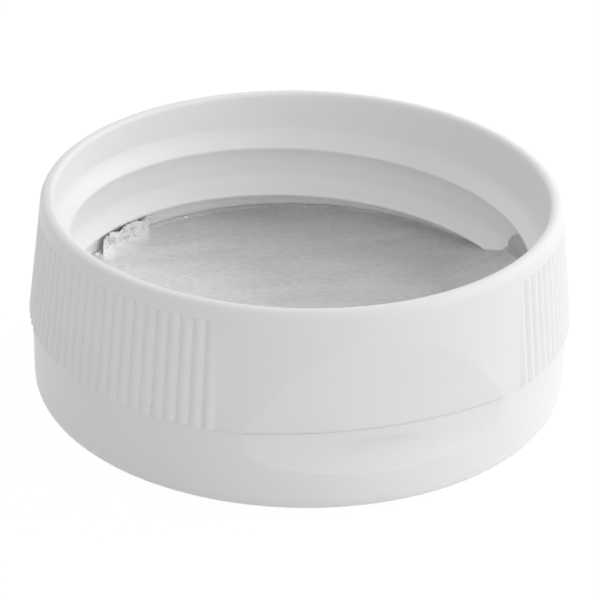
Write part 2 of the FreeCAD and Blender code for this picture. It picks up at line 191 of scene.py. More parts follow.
class RingPiece:
    """A round piece grown from a circle by extruding and scaling its newest ring."""

    def __init__(self, name: str, start: Point, segments: int) -> None:
        """Adds the first ring and opens it for editing.

        Args:
            name: The piece's name.
            start: The first ring's radius and height.
            segments: The vertices of each ring.
        """
        bpy.ops.object.select_all(action="DESELECT")
        self.start = start
        self.radius, self.height = start
        place = (0, 0, self.height)
        bpy.ops.mesh.primitive_circle_add(vertices=segments, radius=self.radius, location=place)
        self.piece = bpy.context.active_object
        self.piece.name = name
        self.piece.data.name = name
        settle()
        switch("EDIT")
        bpy.ops.mesh.select_all(action="SELECT")

    def grow(self, radius: float, height: float) -> None:
        """Extrudes the newest ring to a new radius and height.

        Args:
            radius: The new ring's radius.
            height: The new ring's height.
        """
        rise = (0, 0, height - self.height)
        bpy.ops.mesh.extrude_region_move(TRANSFORM_OT_translate={"value": rise})
        ratio = radius / self.radius
        bpy.ops.transform.resize(value=(ratio, ratio, 1), center_override=(0, 0, height))
        self.radius, self.height = radius, height

    def follow(self, profile: list[Point]) -> None:
        """Grows a ring to each point of a profile in turn."""
        for radius, height in profile:
            self.grow(radius, height)

    def fill_ends(self) -> None:
        """Closes the newest ring and the first one with flat faces."""
        bpy.ops.mesh.edge_face_add()
        radius, height = self.start
        pick(
            self.piece,
            lambda v: abs(v.co.z - height) < NEAR and abs(math.hypot(v.co.x, v.co.y) - radius) < NEAR,
        )
        bpy.ops.mesh.edge_face_add()

    def done(self) -> Object:
        """Leaves edit mode and hands the piece over."""
        switch("OBJECT")
        return self.piece


def path_piece(name: str, points: list[Vector]) -> Object:
    """Models an open path of edges, one extruded vertex after another, and stays in edit mode.

    Args:
        name: The piece's name.
        points: The path's points.

    Returns:
        The path's object, in edit mode.
    """
    bpy.ops.object.select_all(action="DESELECT")
    bpy.ops.mesh.primitive_plane_add(size=MM)
    piece = bpy.context.active_object
    piece.name = name
    piece.data.name = name
    switch("EDIT")
    bpy.ops.mesh.select_all(action="SELECT")
    bpy.ops.mesh.merge(type="CENTER")
    bpy.ops.transform.translate(value=points[0])
    for before, after in zip(points, points[1:]):
        bpy.ops.mesh.extrude_region_move(TRANSFORM_OT_translate={"value": after - before})
    return piece


@dataclass(frozen=True)
class ClosureSizes:
    """The sizes that the closure's pieces share, as in its CAD model."""

    height: float = 16.2 * MM
    bore: float = 18.9 * MM
    rim: float = 20.0 * MM
    seam: float = 20.8 * MM
    seam_height: float = 6.6 * MM
    seam_gap: float = 0.012 * MM
    rim_round: float = 0.7 * MM
    rim_inner_round: float = 0.35 * MM
    boss: float = 19.45 * MM
    liner_face: float = 5.95 * MM
    deck_inner: float = 5.45 * MM
    deck_outer: float = 4.15 * MM
    orifice: float = 3.175 * MM
    bead_height: float = 5.615 * MM
    bead_half_width: float = 0.35 * MM
    bead: float = 0.14 * MM
    lid_bore: float = 19.75 * MM
    hinge_face: float = 21.0 * MM

    @property
    def base_foot(self) -> float:
        """The height at which the base's wall starts, just over the lid's edge."""
        return self.seam_height + self.seam_gap

    @property
    def bead_low(self) -> float:
        """The height at which the snap bead starts."""
        return self.bead_height - self.bead_half_width

    @property
    def bead_high(self) -> float:
        """The height at which the snap bead ends."""
        return self.bead_height + self.bead_half_width

    def wall(self, height: float) -> float:
        """The plain wall's radius at a height; the mould's draft flares it towards the seam."""
        shoulder = self.height - self.rim_round
        return self.rim + (self.seam - self.rim) * (shoulder - height) / (shoulder - self.base_foot)


@dataclass
class ThumbScoop:
    """The tool that hollows the thumb scoop out of the base and the lid."""

    sizes: ClosureSizes
    depth: float = 0.85 * MM
    top: float = 13.85 * MM
    floor_radius: float = 29.2 * MM
    blend_height: float = 5.3 * MM
    lip_round: float = 2.95 * MM
    reach: float = 2.0 * MM
    segments: int = 640
    levels: int = 14
    half_width: float = 10.6 * MM
    crease_degrees: float = 2.0
    smooth_degrees: float = 30.0

    def build(self) -> Object:
        """Models the tool: a ring whose inner side is the scoop's floor and lip.

        Returns:
            The tool's object, which is removed after its last cut.
        """
        floor = self.floor_radius
        floor_reach = self.sizes.seam - self.depth
        lean = (self.sizes.wall(self.top) - floor_reach) / (self.top - self.blend_height)
        top = self.top + self.reach / 2
        start = (floor + lean * (top - self.blend_height), top)
        steepest = math.degrees(math.acos(1 - self.reach / self.lip_round))
        lip_centre = (floor + self.lip_round, self.blend_height)
        ring = RingPiece("scoop_tool", start, self.segments)
        ring.follow(line_points(start, (floor, self.blend_height), self.levels))
        ring.follow(arc_points(lip_centre, self.lip_round, 180, 180 + steepest, self.levels)[1:])
        ring.follow([(floor + self.reach, top), start])
        bpy.ops.mesh.select_all(action="SELECT")
        bpy.ops.transform.translate(value=(0, floor - floor_reach, 0))
        tool = ring.done()
        close_up(tool, self.smooth_degrees)
        return tool

    def sharpen_outline(self, piece: Object) -> None:
        """Keeps the shallow crease round the scoop crisp on a piece that it was cut from.

        Args:
            piece: The base or the lid.
        """
        work_on(piece)
        switch("EDIT")
        bpy.ops.mesh.select_mode(type="EDGE")
        bpy.ops.mesh.select_all(action="DESELECT")
        sharp = math.radians(self.crease_degrees)
        for edge in bmesh.from_edit_mesh(piece.data).edges:
            places = [vertex.co for vertex in edge.verts]
            front = all(p.y < 0 and abs(p.x) < self.half_width and p.z < self.top + MM for p in places)
            edge.select = front and edge.calc_face_angle(0) > sharp
        bmesh.update_edit_mesh(piece.data)
        bpy.ops.mesh.mark_sharp()
        bpy.ops.mesh.select_mode(type="VERT")
        switch("OBJECT")


@dataclass
class HingePad:
    """The pad that carries the film hinge on each side of the seam."""

    sizes: ClosureSizes
    width: float = 9.0 * MM
    flat: float = 1.2 * MM
    root: float = 19.83 * MM
    edge_round: float = 0.1 * MM
    edge_steps: int = 3

    def build(self, name: str, face: float, away: int) -> Object:
        """Models one pad from a block whose far edge slopes into the wall.

        Args:
            name: The pad's name.
            face: The height of its face at the seam.
            away: 1 for the pad above the seam, -1 for the one below.

        Returns:
            The pad's object.
        """
        bpy.ops.object.select_all(action="DESELECT")
        depth = self.sizes.hinge_face - self.root
        inner = self.root + depth / 2
        far = face + away * self.flat
        place = (0, inner, face + away * self.flat / 2)
        bpy.ops.mesh.primitive_cube_add(size=1, location=place, scale=(self.width, depth, self.flat))
        pad = bpy.context.active_object
        pad.name = name
        settle()
        switch("EDIT")
        pick(pad, lambda v: abs(v.co.z - far) < self.edge_round and v.co.y < inner)
        bpy.ops.transform.translate(value=(0, 0, away * self.flat))
        pick(pad, lambda v: v.co.y > inner and abs(v.co.z - far) < self.edge_round)
        bpy.ops.mesh.bevel(offset=self.edge_round, segments=self.edge_steps, affect="EDGES")
        switch("OBJECT")
        return pad


@dataclass
class ClosureBase:
    """The base: the mouth's wall with its grip ribs, the deck with the spout, and the boss."""

    sizes: ClosureSizes
    ribs_per_turn: int = 126
    samples: int = 10
    front_panel_ribs: int = 12
    back_panel_ribs: int = 8
    rib_depth: float = 0.26 * MM
    rib_stand: float = 0.2 * MM
    rib_top: float = 14.9 * MM
    band_levels: int = 10
    spout_wall: float = 1.2 * MM
    spout_height: float = 1.5 * MM
    boss_chamfer: float = 0.4 * MM
    rim_steps: int = 8
    inner_steps: int = 5

    def place_on_rib(self, vertex: BMVert) -> tuple[int, bool] | None:
        """Where a vertex lies across its rib.

        Args:
            vertex: A vertex of the ribbed band.

        Returns:
            The samples between it and the rib's crest, and whether it is on the last flank beside a
            plain panel. None on a plain panel.
        """
        angle = math.atan2(abs(vertex.co.x), -vertex.co.y) / TURN
        place = round(angle * self.ribs_per_turn * self.samples)
        first = self.front_panel_ribs * self.samples
        last = (self.ribs_per_turn // 2 - self.back_panel_ribs) * self.samples
        half = self.samples // 2
        if not first < place < last:
            return None
        return abs((place - first) % self.samples - half), place < first + half or place > last - half

    def relief(self, share: int, outer_flank: bool, height: float | None) -> float:
        """How far the ribbed outline stands off the plain one at one place, as a ratio of radii.

        Args:
            share: Samples between the place and the rib's crest.
            outer_flank: Whether the place is on the last flank beside a plain panel.
            height: The height of the place, or None where the wall is plain.

        Returns:
            The ratio.
        """
        if height is None:
            return 1.0
        plain = self.sizes.wall(height)
        rise = (self.rib_top - height) / (self.rib_top - self.sizes.base_foot)
        crest = plain + self.rib_stand * rise
        part = share / (self.samples / 2)
        if outer_flank:
            return (crest + (plain - crest) * part) / plain
        half_pitch = plain * math.pi / self.ribs_per_turn
        bow = (half_pitch**2 + self.rib_depth**2) / (2 * self.rib_depth)
        return (crest - (bow - math.sqrt(bow**2 - (part * half_pitch) ** 2))) / plain

    def reshape(self, ring: RingPiece, before: float | None, after: float | None) -> None:
        """Scales the newest ring's samples in or out, each set by its own ratio.

        Args:
            ring: The piece that is growing, with its newest ring selected.
            before: The height whose ribs the ring follows now, or None for the plain outline.
            after: The height whose ribs it gets, or None for the plain outline.
        """
        newest = [v for v in bmesh.from_edit_mesh(ring.piece.data).verts if v.select]
        numbers = [vertex.index for vertex in newest]
        sets: dict[tuple[int, bool], list[int]] = {}
        for vertex in newest:
            place = self.place_on_rib(vertex)
            if place is not None:
                sets.setdefault(place, []).append(vertex.index)
        for (share, flank), chosen in sets.items():
            ratio = self.relief(share, flank, after) / self.relief(share, flank, before)
            pick_numbers(ring.piece, chosen)
            bpy.ops.transform.resize(value=(ratio, ratio, 1), center_override=(0, 0, ring.height))
        pick_numbers(ring.piece, numbers)

    def grow_band(self, ring: RingPiece) -> None:
        """Grows the ribbed band from the seam to the ribs' upper ends, with a ledge over the valleys.

        Args:
            ring: The piece, whose newest ring is the plain wall's foot.
        """
        foot = (self.sizes.wall(self.sizes.base_foot), self.sizes.base_foot)
        top = (self.sizes.wall(self.rib_top), self.rib_top)
        self.reshape(ring, None, ring.height)
        for radius, height in line_points(foot, top, self.band_levels):
            before = ring.height
            ring.grow(radius, height)
            self.reshape(ring, before, height)
        ring.grow(*top)
        self.reshape(ring, self.rib_top, None)

    def build(self, scoop: Object, pad: Object, ridge: Object) -> Object:
        """Models the base.

        Args:
            scoop: The thumb scoop's tool.
            pad: The hinge pad, which is used up.
            ridge: The thread's ridge, which is used up.

        Returns:
            The base's object.
        """
        sizes = self.sizes
        foot = (sizes.wall(sizes.base_foot), sizes.base_foot)
        spout_foot = sizes.deck_outer - self.spout_height
        spout = sizes.orifice + self.spout_wall
        rim_centre = (sizes.rim - sizes.rim_round, sizes.height - sizes.rim_round)
        inner_centre = (sizes.bore + sizes.rim_inner_round, sizes.height - sizes.rim_inner_round)
        ring = RingPiece("base_shell", foot, self.ribs_per_turn * self.samples)
        self.grow_band(ring)
        ring.follow(arc_points(rim_centre, sizes.rim_round, 0, 90, self.rim_steps))
        ring.follow(arc_points(inner_centre, sizes.rim_inner_round, 90, 180, self.inner_steps))
        mouth = (ring.radius, ring.height)
        ring.follow(line_points(mouth, (sizes.bore, sizes.deck_inner), self.inner_steps))
        ring.follow([(sizes.orifice, sizes.deck_inner), (sizes.orifice, spout_foot), (spout, spout_foot)])
        ring.follow([(spout, sizes.deck_outer), (sizes.boss - self.boss_chamfer, sizes.deck_outer)])
        ring.follow([(sizes.boss, sizes.deck_outer + self.boss_chamfer), (sizes.boss, sizes.bead_low)])
        ring.follow([(sizes.boss + sizes.bead, sizes.bead_height), (sizes.boss, sizes.bead_high)])
        ring.follow([(sizes.boss, sizes.base_foot), foot])
        self.reshape(ring, None, sizes.base_foot)
        base = ring.done()
        close_up(base, EDGE)
        cut_out(base, scoop)
        close_up(base, SHARP)
        fuse(base, pad)
        fuse(base, ridge)
        close_up(base, SHARP)
        return base


@dataclass
class NeckThread:
    """The ridge of the mouth's thread: a soft trapezoid on a helix, with a run-out at each end.

    The outline's points are a radius and a height over the helix, in millimetres.
    """

    sizes: ClosureSizes
    pitch: float = 4.233 * MM
    lead: float = 2.91 * MM
    turns: float = 1.648
    foot_angle: float = -5.0
    ramp_angle: float = 60.0
    floor_clearance: float = 0.06 * MM
    steps: int = 400
    root_depth: float = 0.05 * MM
    fade_radius: float = 9.0 * MM
    fade_offset: float = 10.0 * MM
    fade_pitches: float = 1.2
    fade_segments: int = 256
    outline: tuple[Point, ...] = (
        (19.0, 1.75), (18.88, 1.5), (18.76, 1.24), (18.58, 1.0), (18.3, 0.78),
        (17.92, 0.5), (17.78, 0.4), (17.7, 0.29), (17.71, 0.2), (17.8, 0.1),
        (18.3, -0.28), (18.6, -0.55), (18.78, -0.85), (18.88, -1.1), (19.0, -1.4),
    )

    def build(self) -> Object:
        """Models the ridge.

        Returns:
            The ridge's object.
        """
        rise = self.pitch * self.turns
        foot = self.sizes.height - self.lead - rise
        angle = math.radians(self.foot_angle)
        points = [
            Vector((across * MM * math.cos(angle), across * MM * math.sin(angle), foot + up * MM))
            for across, up in self.outline
        ]
        ridge = path_piece("neck_thread", points)
        pick(ridge, lambda v: math.hypot(v.co.x, v.co.y) > self.sizes.bore + self.root_depth)
        bpy.ops.mesh.edge_face_add()
        switch("OBJECT")
        apply_modifier(
            ridge,
            "SCREW",
            angle=TURN * self.turns,
            screw_offset=rise,
            steps=self.steps,
            render_steps=self.steps,
            use_merge_vertices=False,
        )
        self.close_ends(ridge)
        self.trim(ridge, foot)
        close_up(ridge, SHARP)
        self.fade_foot(ridge, foot)
        return ridge

    def close_ends(self, ridge: Object) -> None:
        """Closes the ridge's two open ends and leaves it in edit mode."""
        work_on(ridge)
        switch("EDIT")
        bpy.ops.mesh.select_mode(type="VERT")
        bpy.ops.mesh.select_all(action="SELECT")
        bpy.ops.mesh.remove_doubles(threshold=DOUBLED / 2)
        bpy.ops.mesh.normals_make_consistent(inside=False)
        bpy.ops.mesh.fill_holes(sides=0)

    def trim(self, ridge: Object, foot: float) -> None:
        """Cuts the outer end off along a ramp, and the ridge's underside off just over the liner.

        Args:
            ridge: The ridge, in edit mode.
            foot: The height of the centre line at the inner end.
        """
        top = foot + self.pitch * self.turns
        turn = math.radians(self.foot_angle + 360 * self.turns)
        out = Vector((math.cos(turn), math.sin(turn), 0))
        along = Vector((-out.y, out.x, 0))
        slope = math.radians(self.ramp_angle)
        normal = along * math.cos(slope) - out * math.sin(slope)
        corner = out * self.sizes.bore

        def close_by(vertex: BMVert) -> bool:
            """Whether a vertex belongs to the end that is being cut."""
            level = Vector((vertex.co.x, vertex.co.y, 0))
            return abs(vertex.co.z - top) < self.pitch / 2 and (level - corner).length < self.pitch

        pick(ridge, close_by)
        bpy.ops.mesh.bisect(plane_co=corner, plane_no=normal, use_fill=True, clear_outer=True)
        floor = self.sizes.liner_face + self.floor_clearance
        bpy.ops.mesh.select_all(action="SELECT")
        bpy.ops.mesh.bisect(plane_co=(0, 0, floor), plane_no=(0, 0, 1), use_fill=True, clear_inner=True)
        switch("OBJECT")

    def fade_foot(self, ridge: Object, foot: float) -> None:
        """Lets the inner end fade into the wall, by cutting it with an off-centre cylinder.

        Args:
            ridge: The ridge.
            foot: The height of the centre line at the inner end.
        """
        turn = math.radians(self.foot_angle)
        place = (self.fade_offset * math.cos(turn), self.fade_offset * math.sin(turn), foot)
        bpy.ops.mesh.primitive_cylinder_add(
            vertices=self.fade_segments,
            radius=self.fade_radius,
            depth=self.pitch * self.fade_pitches,
            location=place,
        )
        cutter = bpy.context.active_object
        settle()
        cut_out(ridge, cutter)
        bpy.data.objects.remove(cutter)


@dataclass
class FlipLid:
    """The lid: a round cover with a rounded corner, a snap groove, a plug ring and the scoop's lip."""

    sizes: ClosureSizes
    edge: float = 20.75 * MM
    draft: float = 0.07 * MM
    corner_round: float = 1.5 * MM
    plate: float = 1.3 * MM
    plug_root: float = 2.925 * MM
    plug_tip: float = 2.725 * MM
    plug_wall: float = 0.8 * MM
    plug_end: float = 4.85 * MM
    corner_steps: int = 9
    side_steps: int = 8
    segments: int = 480

    def build(self, scoop: Object, pad: Object) -> Object:
        """Models the lid.

        Args:
            scoop: The thumb scoop's tool.
            pad: The hinge pad, which is used up.

        Returns:
            The lid's object.
        """
        sizes = self.sizes
        centre = (self.edge - self.draft - self.corner_round, self.corner_round)
        corner = arc_points(centre, self.corner_round, -90, 0, self.corner_steps)
        ring = RingPiece("lid_shell", corner[0], self.segments)
        ring.follow(corner[1:])
        ring.follow(line_points(corner[-1], (self.edge, sizes.seam_height), self.side_steps))
        ring.follow([(sizes.lid_bore, sizes.seam_height), (sizes.lid_bore, sizes.bead_high)])
        ring.follow([(sizes.lid_bore + sizes.bead, sizes.bead_height), (sizes.lid_bore, sizes.bead_low)])
        ring.follow([(sizes.lid_bore, self.plate), (self.plug_root, self.plate)])
        ring.follow([(self.plug_tip, self.plug_end)])
        plug_bore = self.plug_tip - self.plug_wall
        ring.follow([(plug_bore, self.plug_end), (plug_bore, self.plate)])
        ring.fill_ends()
        lid = ring.done()
        close_up(lid, EDGE)
        cut_out(lid, scoop)
        close_up(lid, EDGE)
        fuse(lid, pad)
        close_up(lid, EDGE)
        return lid


@dataclass(frozen=True)
class FoilTab:
    """The place, the size and the creases of one of the liner's pull tabs."""

    name: str
    radius: float
    angle: float
    spread: float
    height: float
    creases: Span


@dataclass
class FoilLiner:
    """The seal liner: a card disc under brushed foil, with two tabs folded up from its edge.

    The curl's points are outwards from the edge and upwards from the face, in millimetres. Creases are
    given as their depth and their size.
    """

    sizes: ClosureSizes
    low: FoilTab = FoilTab("low_foil_tab", 18.35 * MM, 123.7, 17.8, 1.35 * MM, (0.6 * MM, 0.8 * MM))
    tall: FoilTab = FoilTab("tall_foil_tab", 18.3 * MM, -1.0, 16.0, 4.1 * MM, (0.08 * MM, 1.2 * MM))
    radius: float = 18.8 * MM
    chamfer: Point = (0.15 * MM, 0.1 * MM)
    curl: tuple[Point, ...] = ((0.02, 0.16), (-0.08, 0.176), (-0.22, 0.05), (-0.4, 0.0))
    middle: float = 0.6 * MM
    rings: int = 44
    segments: int = 360
    wrinkle: float = 0.07 * MM
    wrinkle_evenness: float = 0.3
    wrinkle_seed: int = 3
    tear: float = 0.16 * MM
    tear_height: float = 0.1 * MM
    tear_evenness: float = 0.4
    tear_seed: int = 5
    foil: float = 0.07 * MM
    disc_creases: Span = (0.05 * MM, 2.2 * MM)
    crease_octaves: int = 2
    smooth_degrees: float = 40.0
    tab_row: float = 0.15 * MM
    tab_rows: int = 6
    columns_per_degree: int = 2
    tab_foot: float = 5.8 * MM
    tall_round: float = 2.9 * MM
    fold_rise: float = 2.15 * MM
    fold_spread: float = 24.0
    fold_width: float = 6.0 * MM
    fold_step: float = 0.02 * MM

    def build_disc(self) -> Object:
        """Models the disc, with its foil curled up a little round the edge.

        Returns:
            The disc's object.
        """
        face = self.sizes.liner_face
        edge = self.radius
        inwards, up = self.chamfer
        ring = RingPiece("liner_disc", (edge - inwards, self.sizes.deck_inner), self.segments)
        ring.follow([(edge, self.sizes.deck_inner + up), (edge, face)])
        ring.follow([(edge + across * MM, face + rise * MM) for across, rise in self.curl])
        ring.follow(line_points((ring.radius, face), (self.middle, face), self.rings))
        ring.fill_ends()
        pick(ring.piece, lambda v: v.co.z > face + NEAR)
        bpy.ops.transform.vertex_random(
            offset=self.wrinkle, uniform=self.wrinkle_evenness, seed=self.wrinkle_seed
        )
        self.lift_fold(ring.piece)
        disc = ring.done()
        close_up(disc, self.smooth_degrees)
        return disc

    def lift_fold(self, disc: Object) -> None:
        """Lifts the disc's face in a soft ramp towards the root of the tall tab.

        Args:
            disc: The disc, in edit mode.
        """
        levels: dict[int, list[int]] = {}
        mesh = bmesh.from_edit_mesh(disc.data)
        mesh.verts.index_update()
        for vertex in mesh.verts:
            turn = abs(math.degrees(math.atan2(vertex.co.y, vertex.co.x)) - self.tall.angle)
            beside = 1 - turn / (self.fold_spread + self.tall.spread / 2)
            outward = 1 - (self.radius - math.hypot(vertex.co.x, vertex.co.y)) / self.fold_width
            if beside > 0 and outward > 0 and vertex.co.z > self.sizes.liner_face - NEAR:
                rise = self.fold_rise * beside**2 * (3 - 2 * beside) * min(1.0, outward) ** 1.5
                levels.setdefault(round(rise / self.fold_step), []).append(vertex.index)
        for level, chosen in levels.items():
            pick_numbers(disc, chosen)
            bpy.ops.transform.translate(value=(0, 0, level * self.fold_step))

    def crumple(self, piece: Object, depth: float, grain: float) -> None:
        """Presses soft, uneven creases into a piece.

        Args:
            piece: The piece to crease.
            depth: The creases' depth.
            grain: The creases' size.
        """
        creases = bpy.data.textures.new("creases", "CLOUDS")
        creases.noise_scale = grain
        creases.noise_depth = self.crease_octaves
        apply_modifier(
            piece,
            "DISPLACE",
            texture=creases,
            texture_coords="LOCAL",
            strength=depth,
            mid_level=0.5,
        )

    def build_tab(self, tab: FoilTab) -> Object:
        """Models a square-ended tab as a part of an upright ring.

        Args:
            tab: The tab's place and size, with angles in degrees from +X and its height over the foil.

        Returns:
            The tab's object, in edit mode.
        """
        start = math.radians(tab.angle + tab.spread / 2)
        foot = Vector((tab.radius * math.cos(start), tab.radius * math.sin(start), self.tab_foot))
        rise = self.sizes.liner_face + tab.height - self.tab_foot
        steps = max(self.tab_rows, round(rise / self.tab_row))
        points = [foot + Vector((0, 0, rise * step / steps)) for step in range(steps + 1)]
        piece = path_piece(tab.name, points)
        bpy.ops.mesh.select_all(action="SELECT")
        columns = round(tab.spread * self.columns_per_degree)
        bpy.ops.mesh.spin(
            steps=columns, angle=math.radians(tab.spread), center=(0, 0, 0), axis=(0, 0, 1)
        )
        return piece

    def round_end(self, tab: Object) -> None:
        """Rounds the upper end of the tall tab by shortening its outer columns.

        Args:
            tab: The tab, in edit mode.
        """
        full = self.sizes.liner_face + self.tall.height - self.tab_foot
        columns: dict[int, list[int]] = {}
        for vertex in bmesh.from_edit_mesh(tab.data).verts:
            turn = math.degrees(math.atan2(vertex.co.y, vertex.co.x)) - self.tall.angle
            columns.setdefault(round(turn * self.columns_per_degree), []).append(vertex.index)
        for place, chosen in columns.items():
            off = self.tall.radius * math.sin(math.radians(place / self.columns_per_degree))
            drop = self.tall_round - math.sqrt(self.tall_round**2 - off**2)
            pick_numbers(tab, chosen)
            ratio = (full - drop) / full
            bpy.ops.transform.resize(value=(1, 1, ratio), center_override=(0, 0, self.tab_foot))

    def build(self) -> list[Object]:
        """Models the liner's three pieces.

        Returns:
            The disc, the low tab and the tall tab.
        """
        disc = self.build_disc()
        self.crumple(disc, *self.disc_creases)
        low = self.build_tab(self.low)
        top = self.sizes.liner_face + self.low.height
        pick(low, lambda v: v.co.z > top - self.tear_height)
        bpy.ops.transform.vertex_random(offset=self.tear, uniform=self.tear_evenness, seed=self.tear_seed)
        switch("OBJECT")
        self.crumple(low, *self.low.creases)
        tall = self.build_tab(self.tall)
        self.round_end(tall)
        switch("OBJECT")
        self.crumple(tall, *self.tall.creases)
        for tab in (low, tall):
            apply_modifier(tab, "SOLIDIFY", thickness=self.foil, offset=0)
            close_up(tab, self.smooth_degrees)
        return [disc, low, tall]


def set_inputs(node: Node, **values: object) -> None:
    """Sets a node's inputs by their names, with spaces as underscores."""
    for name, setting in values.items():
        node.inputs[name.replace("_", " ")].default_value = setting


class Shader:
    """A material that is being put together from nodes."""

    def __init__(self, name: str) -> None:
        """Starts a material with a Principled surface and Object coordinates.

        Args:
            name: The material's name.
        """
        self.material = bpy.data.materials.new(name)
        self.material.use_nodes = True
        self.tree = self.material.node_tree
        self.surface = self.tree.nodes["Principled BSDF"]
        self.place = self.tree.nodes.new("ShaderNodeTexCoord").outputs["Object"]

    def link(self, output: NodeSocket, target: NodeSocket) -> None:
        """Joins an output to an input."""
        self.tree.links.new(output, target)

    def stretch(self, scale: Triple, turn: float) -> NodeSocket:
        """Object coordinates stretched and turned about Z.

        Args:
            scale: The scale along X, Y and Z.
            turn: The turn in degrees.

        Returns:
            The mapped vector's socket.
        """
        mapping = self.tree.nodes.new("ShaderNodeMapping")
        set_inputs(mapping, Scale=scale, Rotation=(0, 0, math.radians(turn)))
        self.link(self.place, mapping.inputs["Vector"])
        return mapping.outputs["Vector"]

    def group(self, tree: NodeTree, vector: NodeSocket, **values: float) -> Node:
        """Places a shared effect in the material.

        Args:
            tree: The effect's node group.
            vector: The socket of the place on the surface.
            values: The effect's own values by input name, with spaces as underscores.

        Returns:
            The group's node.
        """
        node = self.tree.nodes.new("ShaderNodeGroup")
        node.node_tree = tree
        self.link(vector, node.inputs["Vector"])
        set_inputs(node, **values)
        return node

    def ramp(self, tone: NodeSocket, ends: Span, dark: Colour, light: Colour) -> NodeSocket:
        """Turns a tone into a colour between a dark and a light one.

        Args:
            tone: The tone's socket.
            ends: The tones of the dark and the light colour.
            dark: The dark colour.
            light: The light colour.

        Returns:
            The colour's socket.
        """
        shades = self.tree.nodes.new("ShaderNodeValToRGB")
        for element, position, colour in zip(shades.color_ramp.elements, ends, (dark, light)):
            element.position = position
            element.color = (*colour, 1)
        self.link(tone, shades.inputs["Fac"])
        return shades.outputs["Color"]

    def between(self, value: NodeSocket, ends: Span) -> NodeSocket:
        """Spreads a value from 0 to 1 over a range.

        Args:
            value: The value's socket.
            ends: The range's first and last number.

        Returns:
            The result's socket.
        """
        spread = self.tree.nodes.new("ShaderNodeMapRange")
        set_inputs(spread, To_Min=ends[0], To_Max=ends[1])
        self.link(value, spread.inputs["Value"])
        return spread.outputs["Result"]

    def roughen(self, height: NodeSocket, strength: float, distance: float) -> None:
        """Gives the surface a fine relief.

        Args:
            height: The relief's socket.
            strength: How strongly it shows.
            distance: Its depth.
        """
        bump = self.tree.nodes.new("ShaderNodeBump")
        set_inputs(bump, Strength=strength, Distance=distance)
        self.link(height, bump.inputs["Height"])
        self.link(bump.outputs["Normal"], self.surface.inputs["Normal"])


def blank_group(
    name: str, inputs: dict[str, float], outputs: list[str]
) -> tuple[NodeTree, Node, Node]:
    """Starts a shared effect as a node group.

    Args:
        name: The group's name.
        inputs: The numbers that it takes and their first values; a Vector is added before them.
        outputs: The names of the numbers that it gives.

    Returns:
        The group, its input node and its output node.
    """
    tree = bpy.data.node_groups.new(name, "ShaderNodeTree")
    tree.interface.new_socket("Vector", in_out="INPUT", socket_type="NodeSocketVector")
    for label, first in inputs.items():
        socket = tree.interface.new_socket(label, in_out="INPUT", socket_type="NodeSocketFloat")
        socket.default_value = first
    for label in outputs:
        tree.interface.new_socket(label, in_out="OUTPUT", socket_type="NodeSocketFloat")
    return tree, tree.nodes.new("NodeGroupInput"), tree.nodes.new("NodeGroupOutput")


def uneven_tone() -> NodeTree:
    """A shared effect: two noises, one broad and one fine, as a tone and a relief.

    Returns:
        The node group, with the outputs Tone and Relief.
    """
    tree, given, result = blank_group(
        "uneven_tone",
        {"Broad Scale": 60.0, "Fine Scale": 2500.0, "Fine Share": 0.3},
        ["Tone", "Relief"],
    )
    link = tree.links.new
    mix = tree.nodes.new("ShaderNodeMix")
    for scale, detail, end in (("Broad Scale", BROAD_DETAIL, "A"), ("Fine Scale", FINE_DETAIL, "B")):
        noise = tree.nodes.new("ShaderNodeTexNoise")
        noise.inputs["Detail"].default_value = detail
        link(given.outputs["Vector"], noise.inputs["Vector"])
        link(given.outputs[scale], noise.inputs["Scale"])
        link(noise.outputs["Fac"], mix.inputs[end])
    link(given.outputs["Fine Share"], mix.inputs["Factor"])
    link(mix.outputs["Result"], result.inputs["Tone"])
    link(noise.outputs["Fac"], result.inputs["Relief"])
    return tree


@dataclass(frozen=True)
class SatinPolypropylene:
    """The white polypropylene of the base, the lid and the film."""

    name: str = "satin_polypropylene"
    dark: Colour = (0.935, 0.935, 0.935)
    light: Colour = (0.965, 0.965, 0.965)
    tones: Span = (0.35, 0.65)
    roughness: Span = (0.36, 0.46)
    relief: float = 0.004 * MM
    relief_strength: float = 0.5
    specular: float = 0.4
    glow: float = 0.35
    glow_depth: float = 0.35 * MM

    def build(self, tone: NodeTree) -> Material:
        """Puts the material together.

        Args:
            tone: The shared uneven tone.

        Returns:
            The material.
        """
        shader = Shader(self.name)
        values = shader.surface.inputs
        effect = shader.group(tone, shader.place, Broad_Scale=90.0, Fine_Scale=2600.0, Fine_Share=0.35)
        colour = shader.ramp(effect.outputs["Tone"], self.tones, self.dark, self.light)
        shader.link(colour, values["Base Color"])
        shader.link(shader.between(effect.outputs["Tone"], self.roughness), values["Roughness"])
        shader.roughen(effect.outputs["Relief"], self.relief_strength, self.relief)
        set_inputs(
            shader.surface,
            Specular_IOR_Level=self.specular,
            Subsurface_Weight=self.glow,
            Subsurface_Radius=(1, 1, 1),
            Subsurface_Scale=self.glow_depth,
        )
        return shader.material


